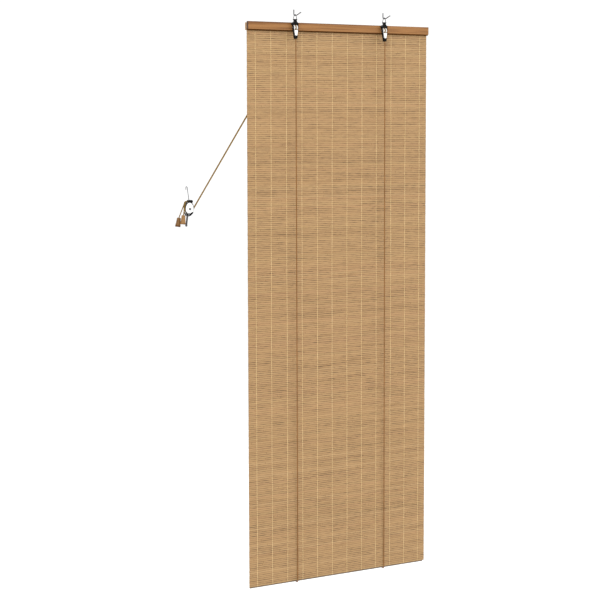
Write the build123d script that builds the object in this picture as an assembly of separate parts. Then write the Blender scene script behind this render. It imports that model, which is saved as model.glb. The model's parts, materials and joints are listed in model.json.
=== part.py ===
from build123d import *
import math
import os

# Bamboo roll up blind, fully lowered. Millimetres, +Z up, front face towards -Y.
# Everything is laid out from the middle of the head rail's top edge, then moved
# so that the origin is midway between the two screw hook stems.

# ---- driving dimensions -------------------------------------------------
RAIL_W, RAIL_H = 595.0, 24.5          # head rail length and height
RAIL_Y0, RAIL_Y1 = -11.0, -1.4        # head rail front and back faces
REBATE_Y, REBATE_Z = 3.4, 3.0         # shadow rebate along the lower front edge
STRIP_Y0, STRIP_Y1 = 1.4, 9.6         # back strip faces
STRIP_Z0, STRIP_Z1 = -24.0, -3.0
DROP = 1600.0                         # rail top to the bottom edge
CURTAIN_W = 594.0
SLAT_T, SLAT_H, SLAT_PITCH, SLAT_N = 1.6, 5.0, 5.42, 292
SLAT_TOP = -13.5
WARP_X = (-271.1, -222.4, -172.6, -123.0, -73.6, -24.2, 25.6, 75.2, 124.8, 174.5, 223.9, 273.4)
WARP_W, WARP_T = 2.2, 0.5
BATTEN_W, BATTEN_H, BATTEN_Y0, BATTEN_Y1 = 586.0, 22.0, 1.4, 7.4
CORD_D = 2.8
CORD_R = CORD_D / 2
PULLEY_X = {"left": -154.0, "right": 139.5}
BOTTOM_X = {"left": -141.0, "right": 152.5}
ROLLER_Y, ROLLER_Z = -18.5, -14.5
ROLLER_R, ROLLER_GROOVE_R, ROLLER_W = 7.0, 3.8, 9.6
ROLLER_BORE_R, AXLE_R = 1.55, 1.5
TURN_R = ROLLER_GROOVE_R + CORD_R + 0.3
FRAME_Y0, FRAME_Y1 = -21.5, -15.5      # the pulley frame's thin plate
TIP_Y0, LUG_Y1 = -25.4, -11.0           # its deeper tip, and the lug on the rail
BAIL_WIRE_R = 1.0
HOOK_WIRE_R, STUD_R = 1.5, 1.7
HOOK_TURN = 20.0                      # the hook's arm, turned from straight ahead
STUD_Z0, STUD_Z1 = 25.0, 35.5
LOCK_X, LOCK_Y, LOCK_Z = -473.0, 7.0, -521.0   # centre of the cord lock's wheel
WHEEL_R, WHEEL_GROOVE_R, WHEEL_W = 10.6, 8.9, 8.6
PAIR = 1.55                           # half the spacing of the two cords side by side
PEG_X, PEG_Z, PEG_R = -481.3, -504.0, 1.9
LEVER_X, LEVER_Z = -477.5, -536.6
RING_X, RING_Y, RING_Z = -147.0, 12.0, -40.0
LOCK_MOVE = (4.0, 9.0, 7.0)          # the lock stands this far behind its layout plane

PARTS = "parts"
os.makedirs(PARTS, exist_ok=True)

HX, HY = -math.sin(math.radians(HOOK_TURN)) * 4.5, math.cos(math.radians(HOOK_TURN)) * 4.5
HOOK_Y = -17.8                        # plane of the bail
STEM_DX, STEM_Y = HX, HOOK_Y + HY
# the cord leaves the guide at G and touches the roller's groove on a tangent
GUIDE_Y, GUIDE_Z = -22.2, -46.0
over_z = ROLLER_Z + TURN_R
_gy, _gz = ROLLER_Y - GUIDE_Y, ROLLER_Z - GUIDE_Z
_a = math.atan2(_gz, _gy) + math.asin(TURN_R / math.hypot(_gy, _gz))
CORD_DIR = Vector(0, math.cos(_a), math.sin(_a))
front_y = GUIDE_Y + CORD_DIR.Y * (over_z - GUIDE_Z) / CORD_DIR.Z
ORIGIN = Vector((PULLEY_X["left"] + PULLEY_X["right"]) / 2 + STEM_DX, STEM_Y, STUD_Z0)
SHIFT = Location((-ORIGIN.X, -ORIGIN.Y, -ORIGIN.Z))


def save(name, shapes):
    shapes = shapes if isinstance(shapes, list) else [shapes]
    solids = []
    for s in shapes:
        solids += [SHIFT * x for x in s.solids()]
    out = solids[0] if len(solids) == 1 else Compound(children=solids)
    export_step(out, f"{PARTS}/{name}.step")


def box(x0, x1, y0, y1, z0, z1):
    return Pos((x0 + x1) / 2, (y0 + y1) / 2, (z0 + z1) / 2) * Box(x1 - x0, y1 - y0, z1 - z0)


def rod_x(r, x0, x1, y, z):
    return Pos((x0 + x1) / 2, y, z) * Rot(0, 90, 0) * Cylinder(r, x1 - x0)


def rod_y(r, y0, y1, x, z):
    return Pos(x, (y0 + y1) / 2, z) * Rot(90, 0, 0) * Cylinder(r, y1 - y0)


def rod_z(r, z0, z1, x, y):
    return Pos(x, y, (z0 + z1) / 2) * Cylinder(r, z1 - z0)


def tube(name, points, radii, r):
    """A round tube along straight runs joined by tangent arcs."""
    pts = [Vector(*p) for p in points]
    path = FilletPolyline(*pts, radius=radii) if radii else Polyline(*pts)
    wire = path if isinstance(path, Wire) else Wire(path.edges())
    plane = Plane(origin=pts[0], z_dir=(pts[1] - pts[0]).normalized())
    solid = sweep(plane * Circle(r), path=wire, transition=Transition.ROUND)
    length = wire.length
    print(f"{name}: length {length:.1f} radii {radii} volume {solid.volume:.1f} section x length {math.pi * r * r * length:.1f}")
    return solid


def xz_plate(points, y0, y1):
    """A flat outline in XZ, from y0 to y1."""
    face = make_face(Plane.XZ * Polyline(*[(x, z) for x, z in points], close=True))
    return Pos(0, y1, 0) * extrude(face, amount=y1 - y0, dir=(0, -1, 0))


# ---- head rail, back strip, nails ---------------------------------------
rail = box(-RAIL_W / 2, RAIL_W / 2, RAIL_Y0, RAIL_Y1, -RAIL_H, 0)
rail = fillet(rail.edges().filter_by(Axis.X), 1.2)
rail -= box(-RAIL_W, RAIL_W, RAIL_Y0 - 1, RAIL_Y0 + REBATE_Y, -RAIL_H - 1, -RAIL_H + REBATE_Z)
strip = box(-CURTAIN_W / 2, CURTAIN_W / 2, STRIP_Y0, STRIP_Y1, STRIP_Z0, STRIP_Z1)
strip = chamfer(strip.edges().filter_by(Axis.X).group_by(Axis.Y)[-1], 0.8)
NAIL_X = (-280, -195, -90, 0, 80, 205, 280)
nails = []
for x in NAIL_X:
    hole = rod_y(0.8, -8.0, STRIP_Y1, x, -8.0)
    rail -= hole
    strip -= hole
    nails.append(rod_y(0.8, -8.0, STRIP_Y1, x, -8.0) + rod_y(2.0, STRIP_Y1, STRIP_Y1 + 0.8, x, -8.0))
for side, x in PULLEY_X.items():
    slot = box(x - 3.6, x + 3.6, RAIL_Y0 - 1, STRIP_Y1 + 1, -12.6, 1)
    rail -= slot
    strip -= slot

# ---- hanger pulleys ------------------------------------------------------
OUTLINE = [(-4.5, 9.2), (-3.4, 6.9), (-3.3, 4.4), (-4.6, 2.2), (-9.0, -2.6), (-9.3, -4.4), (-9.0, -8.0), (-3.5, -42.5), (-2.9, -45.4)]
WINDOW = [(-7.5, -6.2), (-7.2, -9.0), (-2.55, -36.6)]
screws = []
for side, x in PULLEY_X.items():
    ring = OUTLINE + [(-a, b) for a, b in reversed(OUTLINE)]
    inner = WINDOW + [(-a, b) for a, b in reversed(WINDOW)]
    frame = xz_plate(ring, FRAME_Y0, FRAME_Y1) - xz_plate(inner, FRAME_Y0 - 1, FRAME_Y1 + 1)
    # a deeper tip round the cord, and a lug behind the shoulders against the rail
    frame += xz_plate(ring, TIP_Y0, FRAME_Y1) & box(-9, 9, -30, -10, -60, -36.6)
    frame += xz_plate(ring, FRAME_Y1, LUG_Y1) & box(-9, 9, -30, -10, -6.2, 1.2)
    frame = fillet(frame.edges().filter_by(Axis.X).group_by(Axis.Z)[-1], 1.2)
    cord_hole = Plane(origin=(0, GUIDE_Y, GUIDE_Z), z_dir=CORD_DIR) * Cylinder(1.75, 64)
    frame -= Pos(0, 0, 0) * cord_hole & box(-9, 9, -40, 0, -60, -34)
    frame -= rod_x(BAIL_WIRE_R + 0.05, -20, 20, HOOK_Y, 5.6)
    frame -= rod_x(AXLE_R, -20, 20, ROLLER_Y, ROLLER_Z)
    frame = Pos(x, 0, 0) * frame
    for s in (-5.2, 5.2):
        shank = rod_y(1.0, -17.0, RAIL_Y1, x + s, -3.7)
        frame -= shank
        rail -= shank
        screws.append(rod_y(1.0, -17.0, RAIL_Y1, x + s, -3.7) + rod_y(2.0, RAIL_Y1, RAIL_Y1 + 1.2, x + s, -3.7))
    save(f"{side}_pulley_frame", frame)

    profile = make_face(Polyline((0, ROLLER_BORE_R), (0, ROLLER_GROOVE_R), (1.7, ROLLER_GROOVE_R), (3.3, ROLLER_R - 0.6), (3.8, ROLLER_R),
                                 (ROLLER_W / 2 - 0.4, ROLLER_R), (ROLLER_W / 2, ROLLER_R - 0.4), (ROLLER_W / 2, ROLLER_BORE_R), close=True))
    half = revolve(profile, axis=Axis.X, revolution_arc=360)
    roller = half + mirror(half, about=Plane.YZ)
    save(f"{side}_pulley_roller", Pos(x, ROLLER_Y, ROLLER_Z) * roller)

    axle = rod_x(AXLE_R, x - 8.4, x + 8.4, ROLLER_Y, ROLLER_Z)
    for s in (-1, 1):
        axle += rod_x(2.4, x + s * 8.4 - (0.9 if s < 0 else 0), x + s * 8.4 + (0.9 if s > 0 else 0), ROLLER_Y, ROLLER_Z)
    save(f"{side}_pulley_axle", axle)

    # white funnel between the frame's arms, below the roller
    wedge = xz_plate([(-4.8, -21.9), (4.8, -21.9), (2.4, -36.4), (-2.4, -36.4)], -25.8, -15.2)
    wedge -= cord_hole
    wedge = fillet(wedge.edges().filter_by(Axis.X).group_by(Axis.Z)[-1], 0.8)
    save(f"{side}_cord_guide", Pos(x, 0, 0) * wedge)

    bail = tube(f"{side}_bail", [(x + 0.2, HOOK_Y, 5.6), (x + 7.0, HOOK_Y, 5.6), (x, HOOK_Y, 29.0), (x - 7.0, HOOK_Y, 5.6), (x - 0.2, HOOK_Y, 5.6)],
                [2.2, 2.8, 2.2], BAIL_WIRE_R)
    save(f"{side}_bail", bail)

    dx, dy = math.sin(math.radians(HOOK_TURN)), -math.cos(math.radians(HOOK_TURN))
    sx, sy = x + STEM_DX, STEM_Y
    hook = tube(f"{side}_screw_hook", [(sx, sy, STUD_Z1 - 2), (sx, sy, 19.0), (sx + dx * 11, sy + dy * 11, 19.8), (sx + dx * 25, sy + dy * 25, 26.5)],
                [3.2, 8.0], HOOK_WIRE_R)
    hook += Pos(sx + dx * 25, sy + dy * 25, 26.5) * Sphere(HOOK_WIRE_R * 1.25)
    hook += rod_z(STUD_R, STUD_Z0, STUD_Z1, sx, sy)
    save(f"{side}_screw_hook", hook)
save("hanger_screws", screws)

# ---- ring eye that gathers the two cords behind the rail ------------------
ring_axis = Vector(-0.35, -0.10, -0.93)
eye = Plane(origin=(RING_X, RING_Y, RING_Z), z_dir=ring_axis) * Torus(5.2, 1.0)
eye_shank = rod_z(1.0, RING_Z + 0.55, STRIP_Z0 + 7.0, RING_X, RING_Y - 5.15)
strip -= rod_z(1.0, STRIP_Z0, STRIP_Z0 + 7.0, RING_X, RING_Y - 5.15)
save("cord_ring_eye", eye + eye_shank)
save("head_rail", rail)
save("rail_nails", nails)

# ---- curtain: slats, warp strands, bottom batten --------------------------
slats = []
for i in range(SLAT_N):
    top = SLAT_TOP - i * SLAT_PITCH
    slats.append(box(-CURTAIN_W / 2, CURTAIN_W / 2, -SLAT_T / 2, SLAT_T / 2, top - SLAT_H, top))
save("bamboo_slats", slats)
LAST = SLAT_TOP - (SLAT_N - 1) * SLAT_PITCH - SLAT_H
save("front_warp_threads", [box(x - WARP_W / 2, x + WARP_W / 2, -SLAT_T / 2 - WARP_T, -SLAT_T / 2, LAST, SLAT_TOP) for x in WARP_X])
save("back_warp_threads", [box(x - WARP_W / 2, x + WARP_W / 2, SLAT_T / 2, SLAT_T / 2 + WARP_T, LAST, SLAT_TOP) for x in WARP_X])
batten = box(-BATTEN_W / 2, BATTEN_W / 2, BATTEN_Y0, BATTEN_Y1, -DROP, -DROP + BATTEN_H)
batten = fillet(batten.edges().filter_by(Axis.X), 1.5)
save("bottom_batten", batten)

# ---- lift cords: front stretch, bight under the batten, back stretch ------
FRONT_Y, BACK_Y, BIGHT_Z = -3.3, BATTEN_Y1 + CORD_R + 0.5, -DROP - CORD_R - 0.5
JOIN_Z = -1584.0
TIE_Y = 5.5
bights = []
for side, x in PULLEY_X.items():
    bx = BOTTOM_X[side]
    save(f"{side}_lift_cord_front", tube(f"{side}_lift_cord_front", [(x, GUIDE_Y, GUIDE_Z - 0.15), (bx, FRONT_Y, JOIN_Z + 0.3)], None, CORD_R))
    save(f"{side}_lift_cord_back", tube(f"{side}_lift_cord_back", [(bx, BACK_Y, JOIN_Z + 0.3), (bx, TIE_Y, STRIP_Z1 - 0.05)], None, CORD_R))
    bights.append(tube(f"{side}_bight", [(bx, FRONT_Y, JOIN_Z), (bx, FRONT_Y, BIGHT_Z), (bx, BACK_Y, BIGHT_Z), (bx, BACK_Y, JOIN_Z)], [4.2, 4.2], CORD_R))
    # the dead end comes up through the strip and is knotted on top of it
    strip -= rod_z(1.65, -40, 5, bx, TIE_Y)
    knot = Pos(bx, TIE_Y, STRIP_Z1 + 1.7) * Torus(1.7, 1.5) + Pos(bx, TIE_Y, STRIP_Z1 + 3.4) * Sphere(1.9) + Pos(bx, TIE_Y, STRIP_Z1 + 1.6) * Cylinder(1.2, 3.0)
    save(f"{side}_cord_knot", knot)
save("bottom_cord_bights", bights)
save("rail_back_strip", strip)

# ---- pull cords: over the roller, through the ring eye, to the lock --------
LOCK_R = WHEEL_GROOVE_R + CORD_R + 0.3
rear_y = STRIP_Y1 + CORD_R + 0.6
RIGHT_RUN_Z = -18.5
# the straight pull comes in on the right of the wheel, passes under it, up on the left, over the peg, and hangs
peg_turn = PEG_R + CORD_R + 0.3
TAIL = {"left": (-502.7, 1.55, -544.4), "right": (-493.2, -7.6, -537.4)}


def route(side):
    x = PULLEY_X[side]
    s = 1 if side == "left" else -1
    y = LOCK_Y + s * PAIR
    pts = [(x, GUIDE_Y, GUIDE_Z), (x, front_y, over_z), (x, rear_y, over_z)]
    rad = [TURN_R, 4.0]
    if side == "left":
        pts += [(x + 2.0, rear_y, -25.5), (RING_X - 0.6, RING_Y + PAIR, RING_Z - 0.4)]
        rad += [9.0, 6.0]
    else:
        pts += [(x - 1.0, rear_y + 0.2, RIGHT_RUN_Z), (RING_X + 24, rear_y + 0.3, RIGHT_RUN_Z - 10.0), (RING_X + 0.8, RING_Y - PAIR, RING_Z + 0.6)]
        rad += [4.0, 12.0, 8.0]
    # where the straight pull meets the line under the wheel
    low = LOCK_Z - LOCK_R - 0.2
    d = Vector(-0.545, 0, -0.838)
    n = Vector(-0.838, 0, 0.545)
    foot = Vector(LOCK_X, 0, LOCK_Z) - n * (LOCK_R + 0.2)
    t = (low - foot.Z) / d.Z
    # from the wheel's left it leans up to the right side of the peg, on a line that touches both
    wide = LOCK_R + 0.2
    gap_x, gap_z = LOCK_X - PEG_X, PEG_Z - LOCK_Z
    lean = math.atan2(gap_z, gap_x) - math.acos((wide + peg_turn) / math.hypot(gap_x, gap_z))
    steep = (1 + math.sin(lean)) / math.cos(lean)
    lock = [(foot.X + d.X * t, y, low), (LOCK_X - wide * steep, y, low)]
    rad += [LOCK_R, LOCK_R]
    top = PEG_Z + peg_turn
    tx, ty, tz = TAIL[side]
    fall = math.atan2(PEG_X - 2.5 - tx, top - tz)
    left_x = PEG_X - peg_turn * (1 - math.sin(fall)) / math.cos(fall)
    lock += [(PEG_X + peg_turn * steep, y, top), (left_x, y, top), (tx, LOCK_Y + ty, tz)]
    pts += [tuple(a + b for a, b in zip(p, LOCK_MOVE)) for p in lock]
    rad += [peg_turn * 0.95, peg_turn * 0.95]
    return pts, rad


for side in ("left", "right"):
    pts, rad = route(side)
    print(side, "pull cord points", [tuple(round(c, 2) for c in p) for p in pts])
    save(f"{side}_pull_cord", tube(f"{side}_pull_cord", pts, rad, CORD_R))

# ---- cord lock -------------------------------------------------------------
def keep(name, shape):
    save(name, Pos(*LOCK_MOVE) * shape)


cheek_out = [(-486.2, -517.0), (-484.6, -508.4), (-479.5, -504.0), (-470.0, -502.6), (-464.4, -507.0), (-461.6, -515.0), (-461.6, -524.0),
             (-464.4, -531.0), (-470.4, -536.8), (-476.5, -539.8), (-481.0, -537.4), (-484.4, -531.0), (-486.2, -524.0)]
cheeks = []
CHEEK_T, HALF_GAP = 1.4, 5.2
yoke = None
for k, (a, b) in enumerate(((LOCK_Y - HALF_GAP - CHEEK_T, LOCK_Y - HALF_GAP), (LOCK_Y + HALF_GAP, LOCK_Y + HALF_GAP + CHEEK_T))):
    face = make_face(Plane.XZ * Spline(*cheek_out, periodic=True))
    plate = Pos(0, b, 0) * extrude(face, amount=b - a, dir=(0, -1, 0))
    plate += xz_plate([(-485.6, -507.0), (-484.6, -502.2), (-481.5, -500.8), (-476.6, -502.8), (-476.2, -509.0), (-484.0, -511.0)], a, b)
    plate -= rod_y(2.0, 0, 20, LOCK_X, LOCK_Z) if k == 0 else rod_y(2.0, 0, 30, LOCK_X, LOCK_Z)
    plate -= rod_y(1.5, -5, 30, PEG_X, PEG_Z)
    plate -= rod_y(1.55, -5, 30, LEVER_X, LEVER_Z)
    cheeks.append(plate)
keep("lock_front_cheek", cheeks[0])
keep("lock_back_cheek", cheeks[1])

wheel_face = make_face(Polyline((2.05, -WHEEL_W / 2), (WHEEL_R, -WHEEL_W / 2), (WHEEL_R, -WHEEL_W / 2 + 0.8), (WHEEL_GROOVE_R, -PAIR - CORD_R + 0.2),
                                (WHEEL_GROOVE_R, PAIR + CORD_R - 0.2), (WHEEL_R, WHEEL_W / 2 - 0.8), (WHEEL_R, WHEEL_W / 2), (2.05, WHEEL_W / 2), close=True))
wheel = revolve(wheel_face, axis=Axis.Y, revolution_arc=360)
keep("lock_wheel", Pos(LOCK_X, LOCK_Y, LOCK_Z) * wheel)
YA, YB = LOCK_Y - HALF_GAP - CHEEK_T, LOCK_Y + HALF_GAP + CHEEK_T
keep("lock_wheel_pin", rod_y(2.0, YA, YB, LOCK_X, LOCK_Z) + rod_y(3.4, YA - 1.0, YA, LOCK_X, LOCK_Z) + rod_y(3.4, YB, YB + 1.0, LOCK_X, LOCK_Z))
keep("lock_peg", rod_y(1.5, YA - 0.8, YB + 0.8, PEG_X, PEG_Z) + rod_y(PEG_R, LOCK_Y - HALF_GAP, LOCK_Y + HALF_GAP, PEG_X, PEG_Z))

# black cap that spaces the cheeks at the top and holds the hanging wire
cap = box(-475.4, -465.0, LOCK_Y - HALF_GAP, LOCK_Y + HALF_GAP, -508.4, -503.0)
cap += box(-476.0, -464.4, YA - 0.9, YB + 0.9, -503.0, -496.4)
cap = fillet(cap.edges().filter_by(Axis.Y).group_by(Axis.Z)[-1], 3.2)
for c in cheeks:
    cap -= c
cap -= rod_z(1.0, -502.0, -490, -473.4, LOCK_Y)
keep("lock_cap", cap)

# black yoke round the foot of the cheeks, with the lever's pin
v = [(-485.2, -529.5), (-481.8, -537.8), (-477.4, -541.2), (-471.0, -539.0), (-463.2, -531.5), (-465.2, -528.8), (-472.0, -532.8),
     (-481.0, -532.8), (-483.2, -528.2)]
yoke_front = xz_plate(v, YA - 1.3, YA) - rod_y(1.55, -20, 30, LEVER_X, LEVER_Z)
yoke_back = xz_plate(v, YB, YB + 1.3) - rod_y(1.55, -20, 30, LEVER_X, LEVER_Z)
keep("lock_front_yoke", yoke_front)
keep("lock_back_yoke", yoke_back)
keep("lock_lever_pin", rod_y(1.5, YA - 1.3, YB + 1.3, LEVER_X, LEVER_Z) + rod_y(2.5, YA - 2.1, YA - 1.3, LEVER_X, LEVER_Z) + rod_y(2.5, YB + 1.3, YB + 2.1, LEVER_X, LEVER_Z))

cam = rod_y(3.1, LOCK_Y - HALF_GAP + 0.5, LOCK_Y + HALF_GAP - 0.5, LEVER_X, LEVER_Z)
rod_dir = Vector(-4.2, 0, -32.0).normalized()
stem = Plane(origin=(LEVER_X, LOCK_Y, LEVER_Z), z_dir=rod_dir) * (Pos(0, 0, 16.5) * Cylinder(2.5, 27.0))
tip = Plane(origin=(LEVER_X, LOCK_Y, LEVER_Z), z_dir=rod_dir) * (Pos(0, 0, 30.0) * Sphere(3.1))
lever = cam + stem + tip - rod_y(1.55, -20, 30, LEVER_X, LEVER_Z)
keep("lock_lever", lever)

wire = tube("lock_hanging_wire", [(-473.4, LOCK_Y, -502.0), (-473.4, LOCK_Y, -494.0), (-476.4, LOCK_Y, -473.0), (-477.8, LOCK_Y, -461.0), (-477.8, LOCK_Y + 8.0, -459.6), (-477.9, LOCK_Y + 8.6, -468.5)],
            [12.0, 20.0, 2.2, 2.2], 1.0)
keep("lock_hanging_wire", wire)

# ---- tassels -----------------------------------------------------------------
for side in ("left", "right"):
    pts, _ = route(side)
    end, before = Vector(*pts[-1]), Vector(*pts[-2])
    axis = (end - before).normalized()
    hang = Vector(axis.X * 0.4, axis.Y * 0.15, -1).normalized()
    bell = revolve(make_face(Polyline((CORD_R + 0.05, 0), (4.4, 0), (5.3, -1.2), (5.5, -6.0), (5.9, -12.0), (7.0, -19.5), (7.4, -23.5), (6.9, -25.0),
                                      (4.6, -25.0), (4.6, -16.0), (CORD_R + 0.05, -16.0), close=True)), axis=Axis.Y, revolution_arc=360)
    bell = Rot(90, 0, 0) * bell
    place = Plane(origin=end, x_dir=(0, 1, 0), z_dir=-hang)
    save(f"{side}_tassel", place * bell)
    inner = Pos(0, 0, -9.3) * Cylinder(CORD_R, 17.4) + Pos(0, 0, -19.4) * Sphere(3.4)
    save(f"{side}_tassel_knot", place * inner)
print("origin in rail coordinates", tuple(round(c, 4) for c in ORIGIN))
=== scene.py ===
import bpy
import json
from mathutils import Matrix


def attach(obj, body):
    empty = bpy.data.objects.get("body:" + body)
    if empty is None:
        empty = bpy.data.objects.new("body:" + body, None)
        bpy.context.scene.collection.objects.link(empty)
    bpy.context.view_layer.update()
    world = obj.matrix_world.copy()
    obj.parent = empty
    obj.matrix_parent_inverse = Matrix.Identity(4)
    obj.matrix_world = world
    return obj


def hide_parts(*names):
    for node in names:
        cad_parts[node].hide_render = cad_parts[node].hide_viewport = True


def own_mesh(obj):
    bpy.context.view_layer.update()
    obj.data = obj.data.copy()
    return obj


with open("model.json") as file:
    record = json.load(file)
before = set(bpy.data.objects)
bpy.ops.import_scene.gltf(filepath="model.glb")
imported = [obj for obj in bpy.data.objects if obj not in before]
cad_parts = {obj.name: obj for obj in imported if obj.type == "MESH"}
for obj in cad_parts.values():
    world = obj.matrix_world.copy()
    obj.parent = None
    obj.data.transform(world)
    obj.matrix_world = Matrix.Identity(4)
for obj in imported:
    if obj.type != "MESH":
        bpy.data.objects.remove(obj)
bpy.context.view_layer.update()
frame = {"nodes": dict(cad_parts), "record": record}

import json
import math
import random

import bpy
import numpy as np
from mathutils import Matrix, Vector

rnd = random.Random(7)
nodes = frame["nodes"]

# Laid out in millimetres from the middle of the head rail's top edge, then moved
# to the shared frame, whose origin is midway between the hook stems.
MOVE = (8.7891, 13.5714, -25.0)


def P(x, y, z):
    return Vector(((x + MOVE[0]) / 1000, (y + MOVE[1]) / 1000, (z + MOVE[2]) / 1000))


# ---- materials ---------------------------------------------------------------
class Mat:
    """A small node builder for procedural materials."""

    def __init__(self, name):
        self.mat = bpy.data.materials.new(name)
        self.mat.use_nodes = True
        self.t = self.mat.node_tree
        self.t.nodes.clear()
        self.out = self.t.nodes.new("ShaderNodeOutputMaterial")
        self.bsdf = self.t.nodes.new("ShaderNodeBsdfPrincipled")
        self.t.links.new(self.bsdf.outputs[0], self.out.inputs[0])

    def put(self, socket, value):
        if isinstance(value, bpy.types.NodeSocket):
            self.t.links.new(value, socket)
        elif value is not None:
            socket.default_value = value

    def set(self, **kw):
        for k, v in kw.items():
            self.put(self.bsdf.inputs[k.replace("_", " ")], v)
        return self

    def coords(self, attribute=None):
        if attribute:
            n = self.t.nodes.new("ShaderNodeAttribute")
            n.attribute_name = attribute
            return n.outputs["Vector"]
        return self.t.nodes.new("ShaderNodeTexCoord").outputs["Object"]

    def attr(self, name, out="Fac"):
        n = self.t.nodes.new("ShaderNodeAttribute")
        n.attribute_name = name
        return n.outputs[out]

    def scale(self, vec, s, loc=(0, 0, 0), rot=(0, 0, 0)):
        n = self.t.nodes.new("ShaderNodeMapping")
        self.put(n.inputs["Vector"], vec)
        n.inputs["Scale"].default_value = s
        n.inputs["Location"].default_value = loc
        n.inputs["Rotation"].default_value = rot
        return n.outputs[0]

    def noise(self, vec, scale=1.0, detail=3.0, rough=0.55, distortion=0.0):
        n = self.t.nodes.new("ShaderNodeTexNoise")
        self.put(n.inputs["Vector"], vec)
        n.inputs["Scale"].default_value = scale
        n.inputs["Detail"].default_value = detail
        n.inputs["Roughness"].default_value = rough
        n.inputs["Distortion"].default_value = distortion
        return n.outputs[0]

    def wave(self, vec, scale=1.0, distortion=0.0, detail=2.0, direction="X", profile="SIN"):
        n = self.t.nodes.new("ShaderNodeTexWave")
        n.bands_direction = direction
        n.wave_profile = profile
        self.put(n.inputs["Vector"], vec)
        n.inputs["Scale"].default_value = scale
        n.inputs["Distortion"].default_value = distortion
        n.inputs["Detail"].default_value = detail
        return n.outputs["Fac"]

    def ramp(self, fac, stops):
        n = self.t.nodes.new("ShaderNodeValToRGB")
        self.put(n.inputs[0], fac)
        e = n.color_ramp.elements
        while len(e) < len(stops):
            e.new(0.5)
        for el, (p, c) in zip(e, stops):
            el.position = p
            el.color = (*c, 1) if len(c) == 3 else c
        return n.outputs[0]

    def math(self, op, a, b=None, c=None, clamp=False):
        n = self.t.nodes.new("ShaderNodeMath")
        n.operation = op
        n.use_clamp = clamp
        for i, v in enumerate((a, b, c)):
            if v is not None:
                self.put(n.inputs[i], v)
        return n.outputs[0]

    def mix(self, fac, a, b, blend="MIX"):
        n = self.t.nodes.new("ShaderNodeMix")
        n.data_type = "RGBA"
        n.blend_type = blend
        self.put(n.inputs[0], fac)
        for i, v in ((6, a), (7, b)):
            self.put(n.inputs[i], (*v, 1) if isinstance(v, tuple) and len(v) == 3 else v)
        return n.outputs[2]

    def sep(self, vec):
        n = self.t.nodes.new("ShaderNodeSeparateXYZ")
        self.put(n.inputs[0], vec)
        return n.outputs

    def bump(self, height, strength=0.3, distance=0.0004, soft_edge=0.0):
        n = self.t.nodes.new("ShaderNodeBump")
        n.inputs["Strength"].default_value = strength
        n.inputs["Distance"].default_value = distance
        self.put(n.inputs["Height"], height)
        if soft_edge:
            b = self.t.nodes.new("ShaderNodeBevel")
            b.samples = 4
            b.inputs["Radius"].default_value = soft_edge
            self.t.links.new(b.outputs[0], n.inputs["Normal"])
        self.t.links.new(n.outputs[0], self.bsdf.inputs["Normal"])
        return self


def wood(name, dark, mid, light, along="X", fine=1.0, rough=0.55, soft_edge=0.0006, end_grain=False, dark_band_below=None):
    m = Mat(name)
    s = {"X": (2.2, 60, 60), "Z": (90, 90, 9)}[along]
    v = m.coords()
    warp = m.noise(m.scale(v, tuple(k * 0.35 for k in s)), 1.0, 2.0)
    rings = m.wave(m.scale(v, s), 1.3 * fine, 7.0, 3.0, direction="Y" if along == "X" else "X")
    fibre = m.noise(m.scale(v, tuple(k * (5.0 if k > 20 else 1.6) for k in s)), 1.0, 5.0, 0.65)
    f = m.math("ADD", m.math("MULTIPLY", rings, 0.35), m.math("ADD", m.math("MULTIPLY", fibre, 0.45), m.math("MULTIPLY", warp, 0.25)))
    col = m.ramp(f, [(0.30, dark), (0.50, mid), (0.72, light)])
    pores = m.ramp(fibre, [(0.30, (0.55, 0.5, 0.45)), (0.42, (1, 1, 1))])
    col = m.mix(0.55, col, pores, "MULTIPLY")
    spec = 0.25
    if end_grain:
        nx = m.math("ABSOLUTE", m.sep(m.t.nodes.new("ShaderNodeTexCoord").outputs["Normal"])[0])
        col = m.mix(m.math("GREATER_THAN", nx, 0.8), col, m.ramp(fibre, [(0.3, (0.035, 0.014, 0.006)), (0.7, (0.085, 0.036, 0.015))]))
    # below the given height the wood turns dark brown and less glossy: on the head rail this band is painted shade
    # under its lower edge, on the tassels a darker band at the bottom
    if dark_band_below is not None:
        low = m.math("LESS_THAN", m.sep(v)[2], dark_band_below)
        col = m.mix(low, col, m.ramp(fibre, [(0.3, (0.048, 0.016, 0.0025)), (0.7, (0.102, 0.038, 0.0065))]))
        spec = m.math("MULTIPLY_ADD", low, -0.24, spec)
    m.set(Base_Color=col, Roughness=m.math("MULTIPLY_ADD", fibre, -0.15, rough + 0.07))
    m.put(m.bsdf.inputs["Specular IOR Level"], spec)
    m.bump(fibre, 0.25, 0.0003, soft_edge)
    return m.mat


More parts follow.
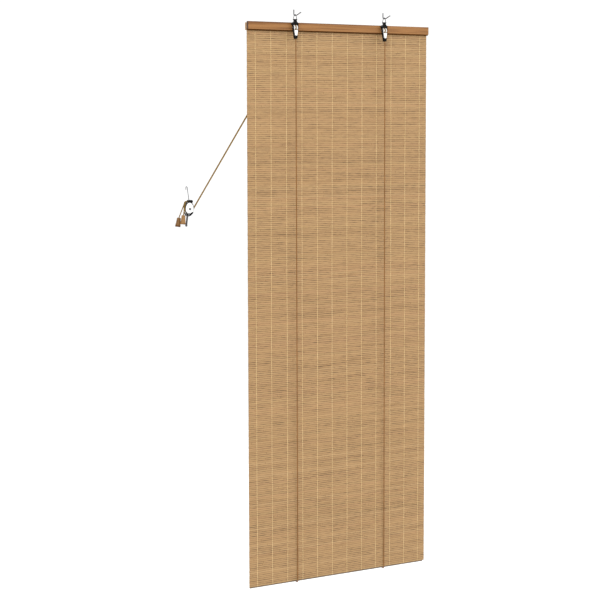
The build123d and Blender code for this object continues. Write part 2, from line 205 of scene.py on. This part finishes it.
def bamboo():
    m = Mat("bamboo_stick")
    rest = m.coords("rest")
    own = m.attr("own")
    x, y, z = m.sep(rest)[:3]
    n = m.t.nodes.new("ShaderNodeCombineXYZ")
    m.put(n.inputs[0], m.math("MULTIPLY_ADD", x, 14.0, m.math("MULTIPLY", own, 91.0)))
    m.put(n.inputs[1], m.math("MULTIPLY", own, 37.0))
    m.put(n.inputs[2], m.math("MULTIPLY", z, 1500.0))
    fibre = m.noise(n.outputs[0], 1.0, 4.0, 0.6)
    n2 = m.t.nodes.new("ShaderNodeCombineXYZ")
    m.put(n2.inputs[0], m.math("MULTIPLY_ADD", x, 9.0, m.math("MULTIPLY", own, 53.0)))
    m.put(n2.inputs[1], m.math("MULTIPLY", own, 211.0))
    patch = m.noise(n2.outputs[0], 1.0, 2.0, 0.6)
    col = m.attr("tint", "Color")
    col = m.mix(0.75, col, m.ramp(fibre, [(0.28, (0.74, 0.71, 0.68)), (0.48, (1.0, 1.0, 1.0)), (0.72, (1.08, 1.07, 1.05))]), "MULTIPLY")
    col = m.mix(1.0, col, m.ramp(patch, [(0.30, (0.90, 0.88, 0.85)), (0.46, (1, 1, 1)), (0.70, (1.04, 1.04, 1.03))]), "MULTIPLY")
    # the ringed joint of the cane, at its own place on each stick
    at = m.math("FRACT", m.math("MULTIPLY_ADD", x, 3.4, m.math("MULTIPLY", own, 17.3)))
    near = m.math("ABSOLUTE", m.math("SUBTRACT", at, 0.5))
    col = m.mix(1.0, col, m.ramp(near, [(0.0, (0.56, 0.51, 0.46)), (0.0018, (0.62, 0.57, 0.52)), (0.0030, (1.07, 1.07, 1.05)), (0.010, (1, 1, 1))]), "MULTIPLY")
    # painted shade along the stick's edges, in the grooves between sticks: stronger on some stretches and broken into
    # dashes along the stick
    edge_shade = m.attr("edge_shade")
    n3 = m.t.nodes.new("ShaderNodeCombineXYZ")
    m.put(n3.inputs[0], m.math("MULTIPLY_ADD", x, 62.0, m.math("MULTIPLY", own, 29.0)))
    m.put(n3.inputs[1], m.math("MULTIPLY", own, 143.0))
    m.put(n3.inputs[2], m.math("MULTIPLY", z, 260.0))
    dash = m.noise(n3.outputs[0], 1.0, 2.0, 0.5)
    groove_shade = m.math("MULTIPLY", edge_shade, m.ramp(patch, [(0.32, (1.0,) * 3), (0.64, (0.60,) * 3)]))
    groove_shade = m.math("MULTIPLY", groove_shade, m.math("MULTIPLY_ADD", m.ramp(dash, [(0.36, (1.0,) * 3), (0.60, (0.0,) * 3)]), 1.05, 0.42))
    groove_shade = m.math("MINIMUM", groove_shade, 1.0)
    col = m.mix(groove_shade, col, (0.085, 0.048, 0.021))
    m.set(Base_Color=col, Roughness=m.math("MULTIPLY_ADD", fibre, 0.2, 0.45))
    m.bsdf.inputs["Specular IOR Level"].default_value = 0.3
    m.bump(fibre, 0.35, 0.0002)
    return m.mat


def thread(name, a, b, grain=1400.0):
    m = Mat(name)
    v = m.coords()
    f = m.noise(m.scale(v, (grain, grain, grain * 0.6)), 1.0, 3.0)
    g = m.noise(m.scale(v, (40, 40, 25)), 1.0, 2.0)
    col = m.ramp(m.math("ADD", m.math("MULTIPLY", f, 0.6), m.math("MULTIPLY", g, 0.4)), [(0.35, a), (0.65, b)])
    m.set(Base_Color=col, Roughness=0.85)
    m.bsdf.inputs["Specular IOR Level"].default_value = 0.15
    m.bump(f, 0.4, 0.0002)
    return m.mat


def laid_rope(name, a, b, along, pitch):
    """A smooth cord whose twist is painted and bumped on, the painted bands being shade in the grooves between the
    strands: along is the straight pull's direction.
    """
    m = Mat(name)
    v = m.coords()
    d = Vector(along).normalized()
    dot = m.t.nodes.new("ShaderNodeVectorMath")
    dot.operation = "DOT_PRODUCT"
    m.put(dot.inputs[0], v)
    side = d.cross(Vector((0, 1, 0)))
    dot.inputs[1].default_value = tuple(d * (1 / pitch) + side * (0.9 / 0.0028))
    twist_shade = m.math("SINE", m.math("MULTIPLY", dot.outputs["Value"], 2 * math.pi))
    f = m.noise(m.scale(v, (900, 900, 900)), 1.0, 3.0)
    mixf = m.math("ADD", m.math("MULTIPLY_ADD", twist_shade, 0.22, 0.28), m.math("MULTIPLY", f, 0.5))
    m.set(Base_Color=m.ramp(mixf, [(0.25, a), (0.75, b)]), Roughness=0.85)
    m.bsdf.inputs["Specular IOR Level"].default_value = 0.15
    m.bump(mixf, 0.6, 0.0005)
    return m.mat


def paint(name, a, b, rough, soft_edge=0.0005, metallic=0.0, coat=0.0, spots=260.0, bump=0.12, spec=0.5, rim=None):
    m = Mat(name)
    v = m.coords()
    f = m.noise(m.scale(v, (spots,) * 3), 1.0, 4.0)
    g = m.noise(m.scale(v, (spots * 6,) * 3), 1.0, 2.0)
    col = m.ramp(f, [(0.3, a), (0.7, b)])
    if rim:
        # a dark band round an oval plate's edge: centre, half axes and where it begins
        cx, cz, ax, az, start = rim
        x, y, z = m.sep(v)[:3]
        dx = m.math("MULTIPLY", m.math("SUBTRACT", x, cx), 1 / ax)
        dz = m.math("MULTIPLY", m.math("SUBTRACT", z, cz), 1 / az)
        far = m.math("SQRT", m.math("ADD", m.math("MULTIPLY", dx, dx), m.math("MULTIPLY", dz, dz)))
        col = m.mix(m.ramp(far, [(start - 0.02, (0, 0, 0)), (start + 0.02, (1, 1, 1))]), col, (0.014, 0.013, 0.013))
    m.set(Base_Color=col, Roughness=m.math("MULTIPLY_ADD", f, 0.18, rough - 0.09), Metallic=metallic)
    m.bsdf.inputs["Specular IOR Level"].default_value = spec
    m.bsdf.inputs["Coat Weight"].default_value = coat
    m.bump(g, bump, 0.00015, soft_edge)
    return m.mat


MATS = {
    # the rail's dark band along its lower edge is painted shade
    "rail_wood": wood("rail_wood", (0.067, 0.025, 0.0074), (0.174, 0.071, 0.0195), (0.281, 0.129, 0.040), end_grain=True, dark_band_below=-0.0464),
    "batten_wood": wood("batten_wood", (0.050, 0.034, 0.021), (0.105, 0.075, 0.048), (0.170, 0.125, 0.082)),
    "strip_wood": wood("strip_wood", (0.17, 0.095, 0.048), (0.33, 0.205, 0.11), (0.45, 0.30, 0.175)),
    "bamboo": bamboo(),
    "warp_thread": thread("warp_thread", (0.47, 0.315, 0.145), (0.71, 0.51, 0.275)),
    "lift_cord": thread("lift_cord", (0.128, 0.052, 0.014), (0.285, 0.130, 0.040)),
    "pull_cord": laid_rope("pull_cord", (0.118, 0.068, 0.012), (0.255, 0.152, 0.034), (-0.545, 0, -0.838), 0.0052),
    "pull_knot": thread("pull_knot", (0.118, 0.068, 0.012), (0.255, 0.152, 0.034)),
    "black_paint": paint("black_paint", (0.004, 0.004, 0.0042), (0.009, 0.0088, 0.0088), 0.45, spec=0.05),
    "white_nylon": paint("white_nylon", (0.80, 0.80, 0.78), (0.90, 0.90, 0.89), 0.36),
    "zinc_wire": paint("zinc_wire", (0.115, 0.117, 0.121), (0.205, 0.205, 0.21), 0.38, 0.0002, metallic=0.9, spots=420.0),
    "white_enamel": paint("white_enamel", (0.72, 0.72, 0.71), (0.84, 0.84, 0.83), 0.3, rim=(-0.4611, -0.5392, 0.0128, 0.0192, 0.90)),
    "dark_steel": paint("dark_steel", (0.045, 0.045, 0.048), (0.10, 0.10, 0.105), 0.36, 0.0003, metallic=0.85),
    "brown_tassel_wood": wood("brown_tassel_wood", (0.074, 0.033, 0.008), (0.142, 0.066, 0.017), (0.215, 0.106, 0.032), along="Z", rough=0.42, soft_edge=0.0004, dark_band_below=-0.5832),
    "tan_tassel_wood": wood("tan_tassel_wood", (0.158, 0.074, 0.021), (0.240, 0.120, 0.037), (0.325, 0.176, 0.062), along="Z", rough=0.42, soft_edge=0.0004, dark_band_below=-0.5782),
}

FINISH = {}
for s in frame["record"]["subparts"]:
    FINISH[s["node"]] = s["material_slot"]
for name, o in nodes.items():
    slot = FINISH[name]
    key = "strip_wood" if name == "rail_back_strip" else slot
    if name.endswith("tassel_knot"):
        key = "pull_knot"
    o.data.materials.clear()
    o.data.materials.append(MATS[key])
    for p in o.data.polygons:
        p.use_smooth = True
    o.data.set_sharp_from_angle(angle=math.radians(32))


# ---- mesh helpers --------------------------------------------------------------
def new_mesh(name, verts, faces, mat, body="head", smooth=True):
    me = bpy.data.meshes.new(name)
    me.from_pydata([tuple(v) for v in verts], [], faces)
    me.update()
    if smooth:
        me.polygons.foreach_set("use_smooth", [True] * len(me.polygons))
    me.materials.append(MATS[mat])
    o = bpy.data.objects.new(name, me)
    bpy.context.scene.collection.objects.link(o)
    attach(o, body)
    return o


def point_attr(o, name, kind, values):
    a = o.data.attributes.new(name, kind, "POINT")
    key = {"FLOAT": "value", "FLOAT_VECTOR": "vector", "FLOAT_COLOR": "color"}[kind]
    a.data.foreach_set(key, np.asarray(values, np.float32).ravel())


# ---- curtain: split bamboo sticks ------------------------------------------------
CURTAIN_W, SLAT_PITCH, SLAT_N, SLAT_TOP = 594.0, 5.42, 292, -13.5
SEG = 24
TINTS = [
    ((0.405, 0.248, 0.118), 5), ((0.413, 0.255, 0.123), 4), ((0.396, 0.241, 0.114), 3),
    ((0.408, 0.244, 0.119), 2), ((0.400, 0.251, 0.119), 2), ((0.383, 0.232, 0.111), 1.2), ((0.424, 0.266, 0.131), 1.2),
]
GAIN = (0.905, 0.893, 0.825)
slat_verts, slat_faces, rest, tint, own, edge_shade = [], [], [], [], [], []
for i in range(SLAT_N):
    zc = SLAT_TOP - 2.5 - i * SLAT_PITCH + (rnd.uniform(-0.11, 0.11) if 3 < i < SLAT_N - 3 else 0.0)
    h = 3.1 * rnd.uniform(0.98, 1.0)
    t = 0.8 * rnd.uniform(0.86, 1.0)
    yc = rnd.uniform(-0.06, 0.06)
    x0 = -CURTAIN_W / 2 + rnd.uniform(-0.1, 0.4)
    x1 = CURTAIN_W / 2 + rnd.uniform(-0.4, 0.1)
    groove_shade_strength = rnd.uniform(1.0, 2.1)
    # the third value at each ring point weights the painted shade: full at the stick's top and bottom edges, part at
    # its front shoulders and back
    ring = [(-0.22 * t, h, 1.0), (-0.84 * t, 0.74 * h, 0.40 * groove_shade_strength), (-t, 0.34 * h, 0.0), (-t, -0.34 * h, 0.0), (-0.84 * t, -0.74 * h, 0.45 * groove_shade_strength),
            (-0.22 * t, -h, 1.0), (0.85 * t, -0.86 * h, 0.55), (0.85 * t, 0.86 * h, 0.55)]
    k1, k2, p1, p2 = rnd.uniform(2, 5), rnd.uniform(7, 13), rnd.uniform(0, 6.3), rnd.uniform(0, 6.3)
    lean = rnd.uniform(-0.06, 0.06)
    colour = rnd.choices([c for c, _ in TINTS], [w for _, w in TINTS])[0]
    light = rnd.uniform(0.975, 1.025)
    seed = rnd.random()
    base = len(slat_verts)
    for j in range(SEG + 1):
        u = j / SEG
        x = x0 + (x1 - x0) * u
        dz = 0.07 * math.sin(k1 * 2 * u + p1) + 0.04 * math.sin(k2 * 2 * u + p2) + lean * (u - 0.5)
        dy = 0.05 * math.sin(k2 * u + p1)
        grow = 1 + 0.05 * math.sin(k1 * 3 * u + p2)
        for a, b, e in ring:
            v = P(x, yc + dy + a, zc + dz + b * grow)
            slat_verts.append(v)
            rest.append(v)
            tint.append((colour[0] * light * GAIN[0], colour[1] * light * GAIN[1], colour[2] * light * GAIN[2], 1))
            own.append(seed)
            edge_shade.append(e)
    n = len(ring)
    for j in range(SEG):
        for k in range(n):
            a, b = base + j * n + k, base + j * n + (k + 1) % n
            slat_faces.append((a, a + n, b + n, b))
    slat_faces.append(tuple(base + k for k in range(n)))
    slat_faces.append(tuple(base + SEG * n + k for k in reversed(range(n))))
slats = new_mesh("bamboo_sticks", slat_verts, slat_faces, "bamboo")
point_attr(slats, "rest", "FLOAT_VECTOR", rest)
point_attr(slats, "tint", "FLOAT_COLOR", tint)
point_attr(slats, "own", "FLOAT", own)
point_attr(slats, "edge_shade", "FLOAT", edge_shade)
slats.data.set_sharp_from_angle(angle=math.radians(50))
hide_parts("bamboo_slats")

# ---- warp: two threads twined round every stick, in each column -----------------------
WARP_X = (-271.1, -222.4, -172.6, -123.0, -73.6, -24.2, 25.6, 75.2, 124.8, 174.5, 223.9, 273.4)
RING5 = [(math.cos(2 * math.pi * k / 5), math.sin(2 * math.pi * k / 5)) for k in range(5)]
LAST_Z = SLAT_TOP - SLAT_N * SLAT_PITCH + 0.42
warps = []
for half, columns in (("left", WARP_X[:6]), ("right", WARP_X[6:])):
    vs, fs = [], []
    for wx in columns:
        wander = [rnd.uniform(0, 6.3) for _ in range(2)]
        for strand in (0, 1):
            pts = []
            for i in range(SLAT_N):
                top = SLAT_TOP + 0.21 - i * SLAT_PITCH
                s = -1 if (i + strand) % 2 == 0 else 1
                w = 0.5 * math.sin(i * 0.023 + wander[0]) + 0.25 * math.sin(i * 0.11 + wander[1])
                jx = rnd.uniform(-0.16, 0.16)
                pts.append((wx + w, 0.0, top))
                y = 0.93 if s > 0 else -1.06      # the batten lies close behind
                pts.append((wx + w + s * 0.28 + jx, y, top - 0.24 * SLAT_PITCH))
                pts.append((wx + w + s * 0.28 + jx, y, top - 0.76 * SLAT_PITCH))
            pts.append((wx, 0.0, LAST_Z))
            base = len(vs)
            for x, y, z in pts:
                for c, sn in RING5:
                    vs.append(P(x + 0.95 * c, y + 0.42 * sn, z))
            for j in range(len(pts) - 1):
                for k in range(5):
                    a, b = base + j * 5 + k, base + j * 5 + (k + 1) % 5
                    fs.append((a, b, b + 5, a + 5))
            fs.append(tuple(base + k for k in reversed(range(5))))
            fs.append(tuple(base + (len(pts) - 1) * 5 + k for k in range(5)))
    o = new_mesh(f"warp_threads_{half}", vs, fs, "warp_thread")
    warps.append(o)
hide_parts("front_warp_threads", "back_warp_threads")


# ---- twisted lift cords ------------------------------------------------------------------
def route(points, radii, step=0.8):
    """Points close together along straight runs joined by tangent arcs."""
    pts = [Vector(p) for p in points]
    out = [pts[0]]
    for i in range(1, len(pts) - 1):
        a, b, c = pts[i - 1], pts[i], pts[i + 1]
        u, w = (a - b).normalized(), (c - b).normalized()
        turn = math.pi - u.angle(w)
        r = radii[i - 1]
        tl = r * math.tan(turn / 2)
        centre = b + (u + w).normalized() * (r / math.cos(turn / 2))
        s, e = b + u * tl, b + w * tl
        axis = (s - centre).cross(e - centre)
        steps = max(3, int(r * turn / step))
        for k in range(steps + 1):
            out.append(centre + Matrix.Rotation(turn * k / steps, 3, axis) @ (s - centre))
    out.append(pts[-1])
    fine = [out[0]]
    for a, b in zip(out, out[1:]):
        d = (b - a).length
        n = max(1, int(d / step))
        for k in range(1, n + 1):
            fine.append(a.lerp(b, k / n))
    return fine


def rope(name, points, radii, r, pitch, step, mat, body):
    line = route(points, radii, step)
    sides = 9
    vs, fs = [], []
    t0 = (line[1] - line[0]).normalized()
    normal = t0.cross(Vector((1, 0, 0)) if abs(t0.x) < 0.8 else Vector((0, 1, 0))).normalized()
    run = 0.0
    for i, p in enumerate(line):
        t = (line[min(i + 1, len(line) - 1)] - line[max(i - 1, 0)]).normalized()
        normal = (normal - t * normal.dot(t)).normalized()
        binormal = t.cross(normal)
        if i:
            run += (p - line[i - 1]).length
        phase = 2 * math.pi * run / pitch
        for k in range(sides):
            a = 2 * math.pi * k / sides
            rr = r * (0.90 + 0.10 * math.cos(3 * (a - phase / 3)))
            q = p + (normal * math.cos(a) + binormal * math.sin(a)) * rr
            vs.append(P(*q))
    for i in range(len(line) - 1):
        for k in range(sides):
            a, b = i * sides + k, i * sides + (k + 1) % sides
            fs.append((a, b, b + sides, a + sides))
    fs.append(tuple(reversed(range(sides))))
    fs.append(tuple((len(line) - 1) * sides + k for k in range(sides)))
    return new_mesh(name, vs, fs, mat, body)


CORD_R = 1.4
PULLEY_X = {"left": -154.0, "right": 139.5}
BOTTOM_X = {"left": -141.0, "right": 152.5}
GUIDE_Y, GUIDE_Z = -22.2, -46.0
FRONT_Y, BACK_Y, BIGHT_Z, JOIN_Z, TIE_Y, TIE_Z = -3.3, 9.3, -1601.9, -1584.0, 5.5, -3.0
STEP = 1.2
lift = {}
for side in ("left", "right"):
    x, bx = PULLEY_X[side], BOTTOM_X[side]
    o = rope(f"{side}_lift_front", [(x, GUIDE_Y, GUIDE_Z - 0.1), (bx, FRONT_Y, JOIN_Z)], None, CORD_R, 4.2, STEP, "lift_cord", "head")
    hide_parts(f"{side}_lift_cord_front")
    lift[side, "front"] = o
    o = rope(f"{side}_lift_back", [(bx, BACK_Y, JOIN_Z), (bx, TIE_Y, TIE_Z)], None, CORD_R, 4.2, STEP, "lift_cord", "head")
    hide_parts(f"{side}_lift_cord_back")
    lift[side, "back"] = o
for side in ("left", "right"):
    bx = BOTTOM_X[side]
    rope(f"{side}_bight", [(bx, FRONT_Y, JOIN_Z), (bx, FRONT_Y, BIGHT_Z), (bx, BACK_Y, BIGHT_Z), (bx, BACK_Y, JOIN_Z)], [4.2, 4.2],
                       CORD_R, 4.2, 0.7, "lift_cord", "bottom_bar")
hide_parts("bottom_cord_bights")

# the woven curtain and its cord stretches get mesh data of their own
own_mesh(slats)
for o in warps:
    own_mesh(o)
for (side, part), o in lift.items():
    if part == "front":
        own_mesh(o)
    else:
        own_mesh(o)

# ---- pull cords -----------------------------------------------------------------------------
ROUTES = {
    "left": ([(-154.0, -22.2, -46.0), (-154.0, -24.32, -9.0), (-154.0, 11.6, -9.0), (-152.0, 11.6, -25.5), (-147.6, 13.55, -40.4),
              (-463.15, 17.55, -524.8), (-485.49, 17.55, -524.8), (-471.8, 17.55, -493.4), (-479.67, 17.55, -493.4), (-498.7, 17.55, -537.4)],
             [5.5, 4.0, 9.0, 6.0, 10.6, 10.6, 3.42, 3.42], 774.5),
    "right": ([(139.5, -22.2, -46.0), (139.5, -24.32, -9.0), (139.5, 11.6, -9.0), (138.5, 11.8, -18.5), (-123.0, 11.9, -28.5), (-146.2, 10.45, -39.4),
               (-463.15, 14.45, -524.8), (-485.49, 14.45, -524.8), (-471.8, 14.45, -493.4), (-480.1, 14.45, -493.4), (-489.2, 8.4, -530.4)],
              [5.5, 4.0, 4.0, 12.0, 8.0, 10.6, 10.6, 3.42, 3.42], 1030.6),
}
for side, (points, radii, length) in ROUTES.items():
    pts = [Vector(p) for p in points]
    control = [pts[0]]
    for i in range(1, len(pts) - 1):
        a, b, c = pts[i - 1], pts[i], pts[i + 1]
        u, w = (a - b).normalized(), (c - b).normalized()
        turn = math.pi - u.angle(w)
        tl = radii[i - 1] * math.tan(turn / 2)
        # points on each side of a turn keep its bend round and the run between turns straight
        if turn > 0.9:
            h = radii[i - 1] * math.tan(turn / 4)
            near, far = tl - h, tl + h
            around = ((b + u * far, far, (a - b).length), (b + u * near, 0, 0), (b + w * near, 0, 0), (b + w * far, far, (c - b).length))
        else:
            around = ((b + u * 2 * tl, 2 * tl, (a - b).length), (b, 0, 0), (b + w * 2 * tl, 2 * tl, (c - b).length))
        for q, d, full in around:
            if d and d > full * 0.45:
                continue
            control.append(q)
    control.append(pts[-1])
    cu = bpy.data.curves.new(f"{side}_pull_line", "CURVE")
    cu.dimensions = "3D"
    sp = cu.splines.new("NURBS")
    sp.points.add(len(control) - 1)
    for p, q in zip(sp.points, control):
        p.co = (*P(*q), 1)
    sp.order_u = 3
    sp.use_endpoint_u = True
    sp.resolution_u = 8
    cu.bevel_depth = CORD_R / 1000
    cu.bevel_resolution = 3
    cu.use_fill_caps = True
    cu.materials.append(MATS["pull_cord"])
    o = bpy.data.objects.new(f"{side}_pull_line", cu)
    bpy.context.scene.collection.objects.link(o)
    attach(o, "head")
    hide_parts(f"{side}_pull_cord")

# ---- camera -----------------------------------------------------------------------------------
cam = bpy.data.objects.new("camera", bpy.data.cameras.new("camera"))
bpy.context.scene.collection.objects.link(cam)
yaw, down = 0.5322, 0.0929
cam.location = (-2.38962, -4.04064, -0.30553)
look = Vector((math.sin(yaw) * math.cos(down), math.cos(yaw) * math.cos(down), -math.sin(down)))
cam.rotation_euler = look.to_track_quat("-Z", "Y").to_euler()
cam.data.sensor_width = 36.0
cam.data.lens = 98.305
cam.data.shift_x, cam.data.shift_y = -0.06, -0.04
cam.data.clip_end = 100
cam.data.dof.use_dof = False
bpy.context.scene.camera = cam

# ---- stage and light -----------------------------------------------------------------------------
me = bpy.data.meshes.new("floor")
me.from_pydata([(-30, -30, -2.15), (30, -30, -2.15), (30, 30, -2.15), (-30, 30, -2.15)], [], [(0, 1, 2, 3)])
floor = bpy.data.objects.new("floor", me)
bpy.context.scene.collection.objects.link(floor)
fm = Mat("floor")
fm.set(Base_Color=fm.ramp(fm.noise(fm.scale(fm.coords(), (3, 3, 3))), [(0.3, (0.95, 0.95, 0.95)), (0.7, (0.97, 0.97, 0.97))]), Roughness=0.9)
floor.data.materials.append(fm.mat)

world = bpy.data.worlds.new("studio")
bpy.context.scene.world = world
world.use_nodes = True
world.node_tree.nodes["Background"].inputs[0].default_value = (1.0, 1.0, 1.0, 1)
world.node_tree.nodes["Background"].inputs[1].default_value = 1.08


def area(name, place, target, size, power, colour=(1, 1, 1)):
    li = bpy.data.lights.new(name, "AREA")
    li.shape = "SQUARE"
    li.size = size
    li.energy = power
    li.color = colour
    o = bpy.data.objects.new(name, li)
    o.location = place
    o.rotation_euler = (Vector(target) - Vector(place)).to_track_quat("-Z", "Y").to_euler()
    bpy.context.scene.collection.objects.link(o)


area("key", (-2.6, -3.6, 1.8), (0, 0, -0.7), 1.6, 95)
area("fill", (2.8, -3.2, 0.2), (0, 0, -0.9), 2.4, 35)
area("rear", (0.8, 3.2, 1.4), (0, 0, -0.8), 2.0, 45)

scene = bpy.context.scene
scene.view_settings.view_transform = "Standard"
scene.view_settings.look = "None"

bpy.context.view_layer.update()
